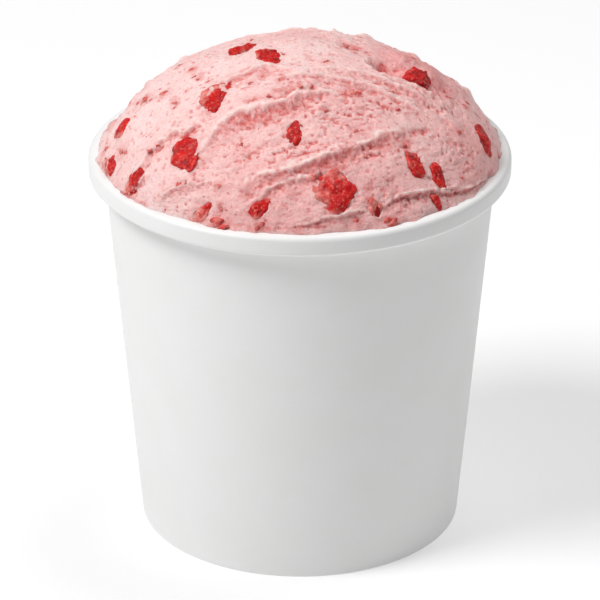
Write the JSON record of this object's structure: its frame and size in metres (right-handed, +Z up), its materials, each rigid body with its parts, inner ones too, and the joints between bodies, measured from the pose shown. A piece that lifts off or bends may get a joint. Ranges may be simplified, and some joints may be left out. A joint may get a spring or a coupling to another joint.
{
  "type": "ice cream pint",
  "caption": "Open paper pint tub with a rolled rim, filled with pink strawberry ice cream mounded high above the rim and studded with fruit pieces.",
  "frame": {"origin": "on the ground at the centre of the foot ring", "axes": "+Z up through the mouth of the tub, -Y towards the side that the picture was taken from, +X to its right"},
  "size_m": [0.098, 0.098, 0.1177],
  "materials": {
    "paper": "matt coated white paperboard",
    "ice_cream": "frozen, finely porous, soft satin",
    "fruit": "wet strawberry flesh"
  },
  "bodies": {
    "root": {"cup_wall": "paper", "cup_base": "paper", "ice_cream": "ice_cream", "strawberry_01": "fruit", "strawberry_02": "fruit", "strawberry_03": "fruit", "strawberry_04": "fruit", "strawberry_05": "fruit", "strawberry_06": "fruit", "strawberry_07": "fruit", "strawberry_08": "fruit", "strawberry_09": "fruit", "strawberry_10": "fruit", "strawberry_11": "fruit", "strawberry_12": "fruit", "strawberry_13": "fruit", "strawberry_14": "fruit", "strawberry_15": "fruit", "strawberry_16": "fruit", "strawberry_17": "fruit", "strawberry_18": "fruit", "strawberry_19": "fruit", "strawberry_20": "fruit", "strawberry_21": "fruit", "strawberry_22": "fruit", "strawberry_23": "fruit", "strawberry_24": "fruit", "strawberry_25": "fruit", "strawberry_26": "fruit"}
  },
  "joints": []
}
